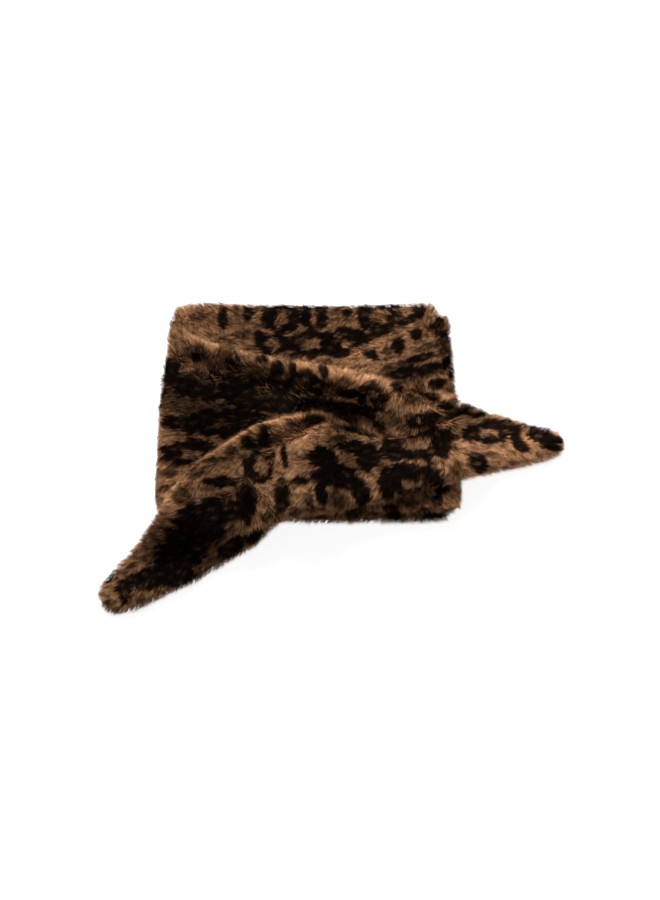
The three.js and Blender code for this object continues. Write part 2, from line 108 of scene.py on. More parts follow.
# Dark marks of the print, charted in plan millimetres, with half sizes and a turn in degrees
# Solid marks are near black, soft ones are brown, and rings thin out in two places. A few marks also stand
# for shade: painted shadows at lips, edges and creases, and painted shade in a hollow
Mark = namedtuple("Mark", "x y long wide turn kind")
MARKS = {
    "back_neck_band": (
        Mark(-86, 111, 4.5, 10, 0, "solid"),
        Mark(-105, 112, 9, 4, 10, "soft"),
        Mark(-120, 104, 3, 7, 0, "soft"),
        Mark(-66, 115, 4.5, 8, -8, "solid"),
        Mark(-75, 118, 3, 4, 0, "soft"),
        Mark(-48, 114, 6, 8, 0, "solid"),
        Mark(-40, 111, 13, 11, 0, "ring"),
        Mark(-30, 110, 4, 9, 0, "solid"),
        Mark(-20, 112, 4.5, 11, 0, "solid"),
        Mark(-14, 112, 9, 10, 0, "ring"),
        Mark(-8, 111, 3.5, 9, 0, "solid"),
        Mark(5, 118, 4, 3, 0, "soft"),
        Mark(13, 115, 5, 4, 0, "solid"),
        Mark(26, 111, 5, 12, 12, "solid"),
        Mark(38, 112, 13, 12, 0, "ring"),
        Mark(36, 105, 6, 6, 0, "soft"),
        Mark(53, 112, 4, 7, 0, "soft"),
        Mark(48, 121, 9, 3, 0, "solid"),
        Mark(70, 118, 5, 5, 0, "solid"),
        Mark(-57, 95, 4.5, 8, 0, "solid"),
        Mark(-46, 90, 11, 8, 0, "ring"),
        Mark(-70, 98, 8, 5, 0, "soft"),
        Mark(-28, 92, 8, 6, 10, "soft"),
        Mark(-15, 90, 18, 9, 4, "ring"),
        Mark(0, 88, 9, 9, 0, "solid"),
        Mark(16, 98, 14, 6, -8, "solid"),
        Mark(8, 83, 10, 5, 0, "solid"),
        # partly print, partly painted shadow: a dark stripe on the back just above the right front's upper
        # edge
        Mark(32, 96, 22, 3.5, 24, "solid"),
        Mark(63, 110, 14, 3.5, 27, "solid"),
        Mark(18, -44, 8, 6, 0, "soft"),
        Mark(36, -42, 4, 3, 0, "solid"),
        Mark(50, -46, 8, 5, 5, "solid"),
        Mark(84, -47, 12, 4, 4, "solid"),
        Mark(70, -40, 9, 3, -8, "soft"),
        Mark(-8, -46, 7, 4, 0, "soft"),
        Mark(-26, -45, 6, 4, 0, "soft"),
    ),
    "right_front_band": (
        Mark(83, 107, 8, 6, -35, "solid"),
        Mark(67, 98, 5.5, 7.5, 8, "solid"),
        Mark(85, 100, 5, 5, 0, "soft"),
        Mark(77, 104, 4, 3, 0, "soft"),
        Mark(53, 88, 5.5, 7, 0, "solid"),
        Mark(45, 84, 5, 4, 0, "soft"),
        Mark(31, 82, 8, 5, -35, "solid"),
        Mark(79, 88, 13, 3.5, 18, "soft"),
        Mark(90, 92, 6, 5, 30, "soft"),
        Mark(70, 78, 13, 3.5, 14, "solid"),
        Mark(92, 75, 3.5, 7, -30, "solid"),
        Mark(76, 69, 14, 5, 15, "solid"),
        Mark(58, 67, 14, 5.5, 15, "solid"),
        Mark(64, 62, 20, 5, 15, "soft"),
        Mark(70, 54, 5, 5, 0, "soft"),
        Mark(90, 84, 9, 4, 25, "soft"),
        # partly print, partly painted shadow in the crease here
        Mark(46, 68, 7, 6, 0, "soft"),
        Mark(84, 58, 9, 4.5, 12, "solid"),
        Mark(96, 66, 3, 5, -20, "solid"),
        Mark(56, 74, 7, 3, 10, "soft"),
        Mark(88, -25, 6, 5, 0, "solid"),
        Mark(84, -34, 5, 5, 0, "solid"),
        Mark(62, -36, 10, 4, -8, "soft"),
        Mark(93, -44, 9, 4, 10, "soft"),
        Mark(48, -42, 7, 6, 0, "solid"),
        Mark(74, -43, 9, 3, 8, "soft"),
    ),
    "left_front_band": (
        Mark(-78, 50, 78, 26, 0, "soft"),
        Mark(-70, 54, 70, 11, 0, "solid"),
        Mark(-78, 30, 40, 16, 4, "soft"),
        Mark(-92, 58, 40, 12, 0, "solid"),
        Mark(-40, 42, 46, 8, 0, "solid"),
        # partly print, partly painted shade in the hollow under the right tail's arch
        Mark(8, 38, 26, 7, -8, "solid"),
        Mark(32, 28, 14, 6, -30, "solid"),
        Mark(-126, 72, 8, 7, 0, "solid"),
        Mark(-124, 62, 12, 6, 0, "solid"),
        Mark(-126, 50, 10, 7, 0, "soft"),
        Mark(-125, 28, 10, 6, 0, "solid"),
        Mark(-86, 28, 33, 9, 2, "ring"),
        Mark(-88, 32, 30, 5, 0, "solid"),
        Mark(-74, 22, 20, 6, 12, "solid"),
        Mark(-104, 26, 13, 7, 0, "solid"),
        Mark(-124, 3, 8, 8, 0, "solid"),
        Mark(-112, 4, 19, 9, 3, "ring"),
        Mark(-105, 9, 14, 4, -3, "solid"),
        Mark(-128, -12, 9, 4, 5, "soft"),
        Mark(-129, -24, 7, 2.5, 0, "soft"),
        # painted shadow at the corner under the band
        Mark(-130, -45, 8, 3.5, 0, "solid"),
        Mark(-116, -40, 8, 4, 20, "soft"),
        Mark(-102, 84, 5, 8, 25, "soft"),
        Mark(-106, 79, 4, 5, 0, "solid"),
        Mark(-114, 78, 5, 5, -30, "soft"),
        Mark(-84, 84, 6, 7, 0, "soft"),
        Mark(-77, 76, 6, 9, 0, "solid"),
        Mark(-92, 68, 8, 5, -20, "soft"),
        Mark(-54, 78, 6, 4, -5, "solid"),
        Mark(-63, 70, 9, 5, 10, "soft"),
        Mark(-42, 69, 6, 8, 0, "solid"),
        Mark(-36, 56, 7, 8, 0, "solid"),
        Mark(-58, 64, 9, 5, 0, "soft"),
        Mark(-30, 71, 3.5, 9, 12, "solid"),
        Mark(-22, 59, 11, 9, 5, "ring"),
        Mark(-6, 70, 4, 9, 8, "solid"),
        Mark(-8, 55, 6, 6, 0, "soft"),
        Mark(9, 73, 3.5, 4, 0, "solid"),
        Mark(12, 62, 4, 3, 0, "soft"),
        Mark(15, 50, 11, 4, 0, "solid"),
        Mark(33, 46, 9.5, 11, 8, "ring"),
        Mark(25, 47, 3.5, 8, 10, "soft"),
        Mark(41, 45, 3.5, 8, 5, "soft"),
        Mark(38, 43, 7, 4, -20, "solid"),
        Mark(52, 57, 4.5, 7, 8, "solid"),
        Mark(62, 45, 6, 5, 0, "soft"),
        Mark(70, 57, 4, 4, 0, "solid"),
        Mark(80, 48, 6, 5, -20, "solid"),
        Mark(90, 41, 7, 4, -10, "solid"),
        Mark(72, 29, 11, 5, 8, "ring"),
        Mark(78, 30, 8, 4, 12, "solid"),
        Mark(60, 32, 6, 3, 15, "soft"),
        Mark(46, 30, 11, 8, -20, "soft"),
        Mark(60, 24, 11, 4, 10, "soft"),
    ),
    "pulled_tail": (
        Mark(-58, 18, 10, 11, 0, "ring"),
        Mark(-66, 12, 4.5, 7, 30, "solid"),
        Mark(-52, 20, 3.5, 8, -5, "solid"),
        Mark(-42, 14, 5, 6, 0, "soft"),
        # painted shadow under the right tail's left lip
        Mark(-38, 3, 3, 12, 6, "solid"),
        Mark(-28, 28, 9, 4, 10, "soft"),
        Mark(-14, 31, 11, 4, 0, "solid"),
        Mark(-78, 5, 5, 5, 0, "soft"),
        Mark(-90, -2, 15, 2.5, 4, "soft"),
        Mark(-54, -7, 12, 11, 0, "ring"),
        Mark(-64, -8, 4.5, 9, 0, "solid"),
        Mark(-57, -17, 8, 4, 0, "solid"),
        Mark(-45, -8, 3.5, 8, -10, "solid"),
        Mark(-86, -19, 14, 5, 2, "solid"),
        Mark(-104, -12, 8, 4, 30, "soft"),
        Mark(-66, -34, 9.5, 19, 0, "solid"),
        Mark(-96, -44, 30, 14, 16, "solid"),
        Mark(-116, -30, 8, 8, 30, "soft"),
        Mark(-110, -66, 52, 26, 46, "soft"),
        Mark(-114, -70, 44, 19, 50, "solid"),
        Mark(-96, -58, 20, 12, 40, "solid"),
        Mark(-132, -92, 24, 10, 32, "solid"),
        Mark(-152, -98, 22, 8, 22, "solid"),
        Mark(-118, -96, 14, 7, 25, "solid"),
        Mark(-78, -71, 17, 7, 38, "solid"),
        Mark(-60, -63, 10, 4, 38, "solid"),
        Mark(-176, -96, 6, 3, 45, "solid"),
        Mark(-163, -110, 6, 8, 0, "solid"),
        Mark(-151, -112, 5, 4, 20, "soft"),
        Mark(-176, -116, 7, 3, 10, "soft"),
        Mark(-160, -88, 8, 3, 40, "soft"),
        Mark(-48, -44, 4, 10, -35, "soft"),
        Mark(-38, -34, 6, 13, 0, "solid"),
    ),
    "right_tail": (
        # painted shade along the crease at the right tail's left lip
        Mark(-36, 2, 3, 11, 8, "solid"),
        Mark(-38, -30, 6.5, 15, 0, "solid"),
        Mark(-24, -18, 9, 3.5, 4, "solid"),
        Mark(-3, -3, 9, 11, 0, "solid"),
        Mark(2, -15, 21, 8, 0, "solid"),
        Mark(12, 0, 24, 11, 0, "ring"),
        Mark(28, -1, 10, 11, -20, "solid"),
        Mark(18, 8, 12, 5, -10, "solid"),
        Mark(-7, -28, 5, 12, 10, "solid"),
        Mark(24, -28, 7, 11, 8, "solid"),
        Mark(14, -20, 14, 6, 0, "solid"),
        Mark(6, -32, 8, 10, 20, "soft"),
        Mark(-17, -32, 4, 6, 0, "soft"),
        Mark(14, -44, 9, 5, 0, "soft"),
        Mark(-28, -42, 7, 5, 0, "soft"),
        Mark(4, 14, 9, 4, 10, "soft"),
        Mark(22, 22, 14, 4, -12, "solid"),
        Mark(8, 25, 10, 4, 0, "soft"),
        Mark(40, 21, 7, 3, -10, "soft"),
        Mark(68, 11, 28, 11, 6, "ring"),
        Mark(86, 9, 9, 11, 10, "solid"),
        Mark(48, 9, 8, 12, -12, "solid"),
        Mark(52, 4, 9, 4, 0, "solid"),
        Mark(66, 19, 20, 4, 4, "solid"),
        Mark(74, 4, 17, 3, 4, "solid"),
        Mark(96, 35, 9, 4.5, 30, "solid"),
        Mark(113, 37, 9, 4, -5, "ring"),
        Mark(128, 21, 20, 8, 4, "ring"),
        Mark(137, 18, 4, 8, 0, "solid"),
        Mark(128, 25, 12, 3, 0, "solid"),
        Mark(107, 17, 5, 4, 0, "solid"),
        Mark(117, -4, 10, 7.5, -35, "solid"),
        Mark(147, 17, 5, 9, 20, "solid"),
        Mark(151, 9, 8, 5, -30, "solid"),
        Mark(165, 24, 14, 4, -14, "solid"),
        Mark(171, 16, 17, 5, -12, "solid"),
        Mark(176, 9, 9, 4, -15, "solid"),
        Mark(60, -13, 20, 6, -4, "solid"),
        Mark(46, -20, 10, 15, -6, "solid"),
        Mark(63, -17, 20, 12, 0, "ring"),
        Mark(81, -17, 10, 5, -22, "solid"),
        Mark(58, -32, 8, 4, 0, "soft"),
        Mark(98, -8, 5, 8, -30, "soft"),
        Mark(128, 2, 8, 3, -10, "soft"),
    ),
}

# Lines in plan where the pile parts over a raised edge and its pale tips stand up, made paler still as a
# painted highlight along the edge
PARTINGS = {
    "back_neck_band": (),
    "right_front_band": (((8, 78), (24, 85), (52, 97), (84, 111)), ((74, -40), (96, -41))),
    "left_front_band": (((-121, 79), (-112, 70), (-100, 60)),),
    "pulled_tail": (
        ((-124, -24), (-114, -12), (-100, 0), (-82, 12), (-60, 26), (-40, 31), (-20, 35)),
        ((-66, -14), (-74, -25), (-82, -33)),
        ((-66, -14), (-56, -26), (-42, -44)),
    ),
    "right_tail": (
        ((-34, 14), (-20, 20), (-4, 27)),
        ((44, 15), (60, 17), (82, 25), (98, 30)),
        ((-14, -38), (2, -40)),
    ),
}

# Plan places where the pile is ruffled up, with how far each reaches
Ruffle = namedtuple("Ruffle", "x y reach")
RUFFLES = {
    "back_neck_band": (Ruffle(-110, 108, 14), Ruffle(-70, 100, 12), Ruffle(40, -46, 12)),
    "right_front_band": (Ruffle(20, 82, 10), Ruffle(84, -42, 12), Ruffle(44, 60, 8)),
    "left_front_band": (
        Ruffle(-92, 70, 16),
        Ruffle(-116, 96, 12),
        Ruffle(-70, 74, 14),
        Ruffle(-50, 52, 8),
        Ruffle(-20, 50, 9),
        Ruffle(44, 40, 12),
        Ruffle(-126, -34, 10),
    ),
    "pulled_tail": (Ruffle(-155, -108, 10), Ruffle(-92, -76, 9), Ruffle(-50, 0, 9)),
    "right_tail": (Ruffle(76, -22, 10), Ruffle(128, 2, 10), Ruffle(-36, -14, 8)),
}

# Plan places where the pile is paler (over 0) or darker (under 0), with how far each reaches: partly the
# dye's own paler and darker places, partly a painted highlight along the top of the left front's roll and
# painted shade in the valley below it and in the hollow under the right tail's arch
Shade = namedtuple("Shade", "x y reach gain")
SHADES = (
    Shade(140, 4, 42, 1.5),
    Shade(-44, 64, 22, 0.15),
    Shade(104, -8, 22, 0.4),
    Shade(-100, 92, 16, 0.35),
    Shade(-60, 84, 12, 0.2),
    Shade(-35, 79, 14, 0.2),
    Shade(-10, 72, 13, 0.2),
    Shade(28, 62, 16, 0.15),
    Shade(60, 52, 20, 0.2),
    Shade(-22, 8, 18, 0.2),
    Shade(6, 17, 14, 0.25),
    Shade(-36, 31, 14, 0.2),
    Shade(96, -36, 13, 0.55),
    Shade(40, 112, 14, 0.15),
    Shade(72, 106, 12, 0.3),
    Shade(-116, 96, 14, 0.15),
    Shade(-164, -90, 14, 0.1),
    Shade(-178, -112, 10, 0.15),
    Shade(-150, -70, 16, -0.15),
    Shade(-130, -44, 12, -0.1),
    Shade(-122, -30, 12, 0.2),
    Shade(-82, 46, 46, -0.35),
    Shade(-96, 14, 26, -0.3),
    Shade(14, 32, 16, -0.4),
    Shade(40, 92, 12, 0.2),
    Shade(64, 102, 10, 0.2),
    Shade(56, 27, 13, -0.3),
    Shade(66, 8, 20, 0.2),
    Shade(150, 26, 16, -0.45),
    Shade(112, 38, 14, -0.35),
    Shade(20, 60, 40, 0.2),
    Shade(76, 74, 26, -0.12),
    Shade(92, 96, 12, 0.15),
    Shade(-18, 18, 20, 0.2),
    Shade(24, 10, 28, 0.25),
    Shade(-50, -80, 60, 0.1),
    Shade(-66, -38, 14, -0.4),
    Shade(-20, 90, 26, -0.2),
    Shade(-60, 112, 60, -0.1),
    Shade(56, 68, 14, -0.2),
)

# The way the pile lies at a few plan places, in degrees round from +X
Nap = namedtuple("Nap", "x y angle")
NAPS = {
    "back_neck_band": (
        Nap(-122, 114, 130),
        Nap(-90, 114, 160),
        Nap(-20, 112, 215),
        Nap(60, 112, 190),
        Nap(84, 118, 70),
        Nap(40, -48, 235),
        Nap(94, -46, 315),
    ),
    "right_front_band": (
        Nap(86, 110, 80),
        Nap(60, 88, 200),
        Nap(86, 84, 240),
        Nap(98, 60, 300),
        Nap(84, -34, 280),
        Nap(99, -44, 315),
    ),
    "left_front_band": (
        Nap(-124, 100, 120),
        Nap(-130, 40, 190),
        Nap(-90, 84, 75),
        Nap(-80, 50, 200),
        Nap(-30, 72, 110),
        Nap(30, 60, 60),
        Nap(60, 34, 250),
        Nap(100, 42, 30),
        Nap(-126, -34, 235),
    ),
    "pulled_tail": (
        Nap(-20, 33, 120),
        Nap(-60, 20, 150),
        Nap(-60, -10, 230),
        Nap(-50, -44, 290),
        Nap(-100, -30, 215),
        Nap(-130, -50, 160),
        Nap(-130, -95, 250),
        Nap(-180, -112, 225),
    ),
    "right_tail": (
        Nap(-38, 8, 205),
        Nap(-34, -36, 240),
        Nap(-5, 24, 160),
        Nap(10, -10, 215),
        Nap(10, -38, 255),
        Nap(50, 10, 195),
        Nap(80, 14, 270),
        Nap(80, -18, 250),
        Nap(110, 10, 345),
        Nap(110, 38, 60),
        Nap(150, 28, 30),
        Nap(150, -4, 320),
        Nap(184, 11, 5),
    ),
}

# Seeds of the noise and of the dice, one for each use
MARK_SEED = 11
HIDDEN_MARK_SEED = 23
NAP_SEED = 5
DYE_SEED = 31
PILE_SEED = 100

# How dark the parts of the print are, from 0 for tan to 1 for near black
GROUND = 0.22
GROUND_SWING = 0.5
GROUND_LIMIT = 0.6
SOFT_MARK = 0.7
RING_MIDDLE = 0.38
BROWN_IN_MARKS = 0.24

# Spacing of the small marks on the hidden sides, along X and Y in millimetres
HIDDEN_COLUMN = 21
HIDDEN_ROW = 17

# A skin is let in by this share of its stretch's thickness at most
INSET_LIMIT = 0.34

# Reach of a parting in millimetres: the pile beside it, the strands on it, and the pale tips over it, which
# carry the painted highlight
PARTING_SIDE = 4.5
PARTING_LINE = 0.9
PARTING_TIPS = 0.8

# About how far apart the strands stand, which gives the number of tufts
STRAND_SPACING = 0.8 * MM

# How the strands vary: the sway of a tuft and of one strand, as a share of its way up, and the spread of
# a tuft's length and of its lean
TUFT_SWAY = 0.12
STRAND_SWAY = 0.19
TUFT_LENGTH_SPREAD = 0.07
TUFT_LEAN_SPREAD = 0.1

# How far the tips and the middles of a tuft draw together
TIPS_TOGETHER = 0.14
MIDDLES_TOGETHER = 0.08

# How the dye varies from tuft to tuft and from strand to strand: darkness of the print, and tone
TUFT_PRINT_SPREAD = 0.04
STRAND_PRINT_SPREAD = 0.09
TUFT_TONE_SPREAD = 0.15
STRAND_TONE_SPREAD = 0.32
LEAST_TONE = 0.3
MOST_TONE = 2.8

# The strands of one pile, with a row for each: its root, the way out of the skin there, its plan place in
# millimetres, the way it lies, how parted and how ruffled the pile is there, and the middle of its tuft
Strands = namedtuple("Strands", "roots lifts plan lay parted ruffle tufts")

# A strand's blade has two points at the root, two half way up and one at the tip, and two faces on them
BLADE_POINTS = 5
BLADE_FACES = (0, 1, 3, 2, 2, 3, 4)
BLADE_FACE_STARTS = (0, 4)
BLADE_RISE = (0, 0, 0.5, 0.5, 1.0)

# The stage in metres: the table's half size and its drop under the wrap, where the camera stands in plan,
# and the key light's width and its place past the top edge
TABLE_HALF = 20
TABLE_DROP = 0.2 * MM
CAMERA_X = -0.4 * MM
CAMERA_Y = 6 * MM
KEY_WIDTH = 1.1
KEY_PLACE = (-0.35, 1.3, 1.05)


def linear(hex_colour):
    """An sRGB hex colour as linear red, green, blue and alpha."""
    channels = [int(hex_colour[i : i + 2], 16) / 255 for i in (1, 3, 5)]
    return [c / 12.92 if c <= 0.04045 else ((c + 0.055) / 1.055) ** 2.4 for c in channels] + [1.0]


def colour_property(name, description, hex_colour):
    return bpy.props.FloatVectorProperty(
        name=name,
        description=description,
        subtype="COLOR",
        size=4,
        min=0,
        max=1,
        default=linear(hex_colour),
    )


class WrapSkin(bpy.types.PropertyGroup):
    wall: bpy.props.FloatProperty(
        name="Thickness", description="Thickness of the knitted backing", default=1.2 * MM, unit="LENGTH"
    )
    depth: bpy.props.FloatProperty(
        name="Pile depth", description="Depth of the pile over the backing", default=3.8 * MM, unit="LENGTH"
    )
    grain: bpy.props.FloatProperty(
        name="Grain", description="Longest edge of the skin's mesh", default=6 * MM, unit="LENGTH"
    )
    backing: colour_property("Backing", "Colour of the backing under tan pile", "#3a2819")
    backing_dark: colour_property("Dark backing", "Colour of the backing under dark pile", "#0b0807")


class WrapPile(bpy.types.PropertyGroup):
    density: bpy.props.FloatProperty(name="Density", description="Share of the strands to grow", default=1)
    length: bpy.props.FloatProperty(
        name="Length", description="Length of a strand", default=7.2 * MM, unit="LENGTH"
    )
    width: bpy.props.FloatProperty(
        name="Width", description="Width of a strand at its root", default=0.28 * MM, unit="LENGTH"
    )
    tuft: bpy.props.FloatProperty(
        name="Tuft", description="Distance between the middles of two tufts", default=3.2 * MM, unit="LENGTH"
    )
    lean: bpy.props.FloatProperty(
        name="Lean", description="Lean of the pile from upright", default=math.radians(48), subtype="ANGLE"
    )
    tan_root: colour_property("Tan root", "Tan pile at its root", "#190d06")
    tan_middle: colour_property("Tan middle", "Tan pile half way up", "#724729")
    tan_tip: colour_property("Tan tip", "Tan pile at its tip", "#c5976f")
    dark_root: colour_property("Dark root", "Dark pile at its root", "#050302")
    dark_tip: colour_property("Dark tip", "Dark pile at its tip", "#150f0c")


class WrapStage(bpy.types.PropertyGroup):
    lens: bpy.props.FloatProperty(name="Lens", description="Focal length in millimetres", default=85)
    height: bpy.props.FloatProperty(
        name="Camera height", description="Camera above the table", default=1.7, unit="LENGTH"
    )
    key_power: bpy.props.FloatProperty(
        name="Key light", description="Power of the soft key", default=60, unit="POWER"
    )
    sky: bpy.props.FloatProperty(name="Sky", description="Strength of the even white surround", default=0.26)
    glow: bpy.props.FloatProperty(name="Glow", description="Light that the table gives", default=0.86)
    floor: colour_property("Table", "Colour of the white table", "#bcbcbc")


def node_of(tree, kind, settings=None, links=None):
    """Adds a node, sets its properties or sockets, and links its inputs from other nodes' outputs."""
    node = tree.nodes.new(kind)
    for name, value in (settings or {}).items():
        if isinstance(name, int) or name in node.inputs:
            node.inputs[name].default_value = value
        else:
            setattr(node, name, value)
    for name, socket in (links or {}).items():
        tree.links.new(socket, node.inputs[name])
    return node


def new_material(name):
    material = bpy.data.materials.new(name)
    material.use_nodes = True
    material.node_tree.nodes.clear()
    return material


# Sockets of a Mix node that mixes colours: the factor, the two colours and the result
FACTOR = 0
FROM_COLOUR = 6
TO_COLOUR = 7
MIXED = 2


def pile_material(pile):
    """Modacrylic faux fur, sheared and dyed: dull, dark at the root, brown half way up, pale at the tip."""
    material = new_material("modacrylic_pile")
    tree = material.node_tree
    printed = node_of(tree, "ShaderNodeAttribute", {"attribute_name": "print"}).outputs["Fac"]
    rise = node_of(tree, "ShaderNodeAttribute", {"attribute_name": "rise"}).outputs["Fac"]
    tone = node_of(tree, "ShaderNodeAttribute", {"attribute_name": "tone"}).outputs["Fac"]
    # brown is reached a little over half way up, and gives way to the pale tip from a little under
    lower = node_of(tree, "ShaderNodeMapRange", {"From Max": 0.55}, {"Value": rise}).outputs[0]
    upper = node_of(tree, "ShaderNodeMapRange", {"From Min": 0.45}, {"Value": rise}).outputs[0]
    settings = {"data_type": "RGBA", FROM_COLOUR: list(pile.tan_root), TO_COLOUR: list(pile.tan_middle)}
    tan = node_of(tree, "ShaderNodeMix", settings, {FACTOR: lower}).outputs[MIXED]
    settings = {"data_type": "RGBA", TO_COLOUR: list(pile.tan_tip)}
    tan = node_of(tree, "ShaderNodeMix", settings, {FACTOR: upper, FROM_COLOUR: tan}).outputs[MIXED]
    settings = {"data_type": "RGBA", FROM_COLOUR: list(pile.dark_root), TO_COLOUR: list(pile.dark_tip)}
    dark = node_of(tree, "ShaderNodeMix", settings, {FACTOR: rise}).outputs[MIXED]
    links = {FACTOR: printed, FROM_COLOUR: tan, TO_COLOUR: dark}
    colour = node_of(tree, "ShaderNodeMix", {"data_type": "RGBA"}, links).outputs[MIXED]
    # the tone scales the colour: random tone, and the painted highlights and painted shade made on the
    # strands
    shade = node_of(tree, "ShaderNodeHueSaturation", {}, {"Value": tone, "Color": colour}).outputs[0]
    settings = {"Roughness": 0.55, "Specular IOR Level": 0}
    shader = node_of(tree, "ShaderNodeBsdfPrincipled", settings, {"Base Color": shade})
    node_of(tree, "ShaderNodeOutputMaterial", {}, {"Surface": shader.outputs[0]})
    return material


def backing_material(skin):
    """Knitted polyester backing, dyed with the pile: matt, and seen only between the tufts."""
    material = new_material("knitted_backing")
    tree = material.node_tree
    printed = node_of(tree, "ShaderNodeAttribute", {"attribute_name": "print"}).outputs["Fac"]
    settings = {"data_type": "RGBA", FROM_COLOUR: list(skin.backing), TO_COLOUR: list(skin.backing_dark)}
    colour = node_of(tree, "ShaderNodeMix", settings, {FACTOR: printed}).outputs[MIXED]
    place = node_of(tree, "ShaderNodeTexCoord").outputs["Object"]
    stitch = 1.2 * MM
    knit = node_of(tree, "ShaderNodeTexNoise", {"Scale": 1 / stitch, "Detail": 2}, {"Vector": place})
    settings = {"Strength": 0.4, "Distance": stitch / 4}
    bump = node_of(tree, "ShaderNodeBump", settings, {"Height": knit.outputs[0]}).outputs[0]
    links = {"Base Color": colour, "Normal": bump}
    shader = node_of(tree, "ShaderNodeBsdfPrincipled", {"Roughness": 0.95, "Specular IOR Level": 0.1}, links)
    node_of(tree, "ShaderNodeOutputMaterial", {}, {"Surface": shader.outputs[0]})
    return material


def table_material(stage):
    """Seamless paper, matt and white, which glows a little so that shadows on it stay faint."""
    material = new_material("seamless_paper")
    tree = material.node_tree
    settings = {
        "Base Color": list(stage.floor),
        "Roughness": 0.9,
        "Specular IOR Level": 0.1,
        "Emission Color": (1, 1, 1, 1),
        "Emission Strength": stage.glow,
    }
    shader = node_of(tree, "ShaderNodeBsdfPrincipled", settings)
    node_of(tree, "ShaderNodeOutputMaterial", {}, {"Surface": shader.outputs[0]})
    return material


def add_object(name, mesh, material):
    piece = bpy.data.objects.new(name, mesh)
    bpy.context.scene.collection.objects.link(piece)
    piece.data.materials.append(material)
    return piece


def smooth_step(low, high, values):
    share = np.clip((values - low) / (high - low), 0, 1)
    return share * share * (3 - 2 * share)


def wander(plan, size, seed):
    """Smooth noise about 0 in plan, with hills about size millimetres apart."""
    turns = np.random.default_rng(seed).uniform(0, 2 * math.pi, (6, 2))
    total = np.zeros(len(plan))
    for angle, phase in turns:
        wave = plan[:, 0] * math.cos(angle) + plan[:, 1] * math.sin(angle)
        bend = plan[:, 1] * math.cos(angle) - plan[:, 0] * math.sin(angle)
        total += np.sin(wave * 2 * math.pi / size + phase + 1.3 * np.sin(bend * math.pi / size + 2 * phase))
    return total / 6


def hidden_marks(seed):
    """Small marks for the hidden sides, one to a cell of a jittered grid over the whole wrap."""
    dice = np.random.default_rng(seed)
    marks = []
    for column in range(-9, 10):
        for row in range(-7, 8):
            x = HIDDEN_COLUMN * column + dice.uniform(-5, 5)
            y = HIDDEN_ROW * row + dice.uniform(-4, 4)
            kind = "ring" if dice.random() < 0.45 else "solid"
            reach = dice.uniform(7, 11) if kind == "ring" else dice.uniform(3.5, 7)
            marks.append(Mark(x, y, reach, reach * dice.uniform(0.55, 0.9), dice.uniform(-40, 40), kind))
    return marks


def ring(mark, reach, angle, number):
    """How dark a ring is: thinner in two places, with a middle that is a shade darker than the ground."""
    opening = np.cos(2 * angle + 1.7 * number)
    thick = 0.14 + 0.8 / min(mark.long, mark.wide) - 0.2 * smooth_step(0.6, 0.95, opening)
    rim = 1 - smooth_step(thick, thick + 0.36, np.abs(reach - 0.82))
    return np.maximum(rim, RING_MIDDLE * (1 - smooth_step(0.5, 0.9, reach)))


def darkness(marks, plan, seed):
    """How dark the print is at each plan place, from 0 to 1."""
    # the noise is drawn out along X, and the ground itself runs from tan to brown
    drawn = plan * (0.7, 1.3)
    ground = GROUND + GROUND_SWING * wander(drawn, 21, seed + 2) + GROUND_SWING * wander(drawn, 8, seed + 3)
    dark = np.clip(ground, 0, GROUND_LIMIT)
    uneven = 0.26 * wander(drawn, 10, seed) + 0.2 * wander(drawn, 4, seed + 1) - 0.05
    for number, mark in enumerate(marks):
        turn = math.radians(mark.turn)
        away_x = plan[:, 0] - mark.x
        away_y = plan[:, 1] - mark.y
        along = (away_x * math.cos(turn) + away_y * math.sin(turn)) / mark.long
        across = (away_y * math.cos(turn) - away_x * math.sin(turn)) / mark.wide
        # 0 at a mark's middle and 1 at its edge
        reach = np.hypot(along, across) + uneven
        if mark.kind == "solid":
            here = 1 - smooth_step(0.7, 1.2, reach)
        elif mark.kind == "soft":
            here = SOFT_MARK * (1 - smooth_step(0.6, 1.3, reach))
        else:
            here = ring(mark, reach, np.arctan2(across, along), number)
        dark = np.maximum(dark, here)
    # brown shows through the dark marks in places
    return dark * (1 - BROWN_IN_MARKS * smooth_step(0, 0.6, wander(drawn, 9, seed + 4)))


def print_on(node, places, normals):
    """The print at places on one stretch: charted marks above, small even ones on the hidden sides."""
    plan = places[:, :2] / MM
    above = darkness(MARKS[node], plan, MARK_SEED)
    below = darkness(hidden_marks(len(node)), plan, HIDDEN_MARK_SEED)
    # the charted marks reach a little way round the edges
    return np.where(normals[:, 2] > -0.35, above, below)


def parting(node, plan):
    """The nearest line where the pile parts: millimetres to it, the way out from it and the way along it."""
    distance = np.full(len(plan), 1000.0)
    out = np.zeros((len(plan), 3))
    along = np.zeros((len(plan), 3))
    for line in PARTINGS[node]:
        for start, end in zip(line, line[1:]):
            step = np.subtract(end, start)
            share = np.clip((plan - start) @ step / (step @ step), 0, 1)
            offset = plan - start - share[:, None] * step
            away = np.linalg.norm(offset, axis=1)
            nearer = away < distance
            distance[nearer] = away[nearer]
            out[nearer, :2] = offset[nearer] / np.maximum(away[nearer], 0.01)[:, None]
            along[nearer, :2] = step / math.hypot(*step)
    return distance, out, along


def dye_and_painted_light(plan):
    """How much paler than usual the pile is at each plan place: partly its dye, partly painted highlight and
    painted shade.
    """
    gain = np.zeros(len(plan))
    for shade in SHADES:
        away = np.hypot(plan[:, 0] - shade.x, plan[:, 1] - shade.y) / shade.reach
        gain += shade.gain * np.exp(-away * away)
    return gain


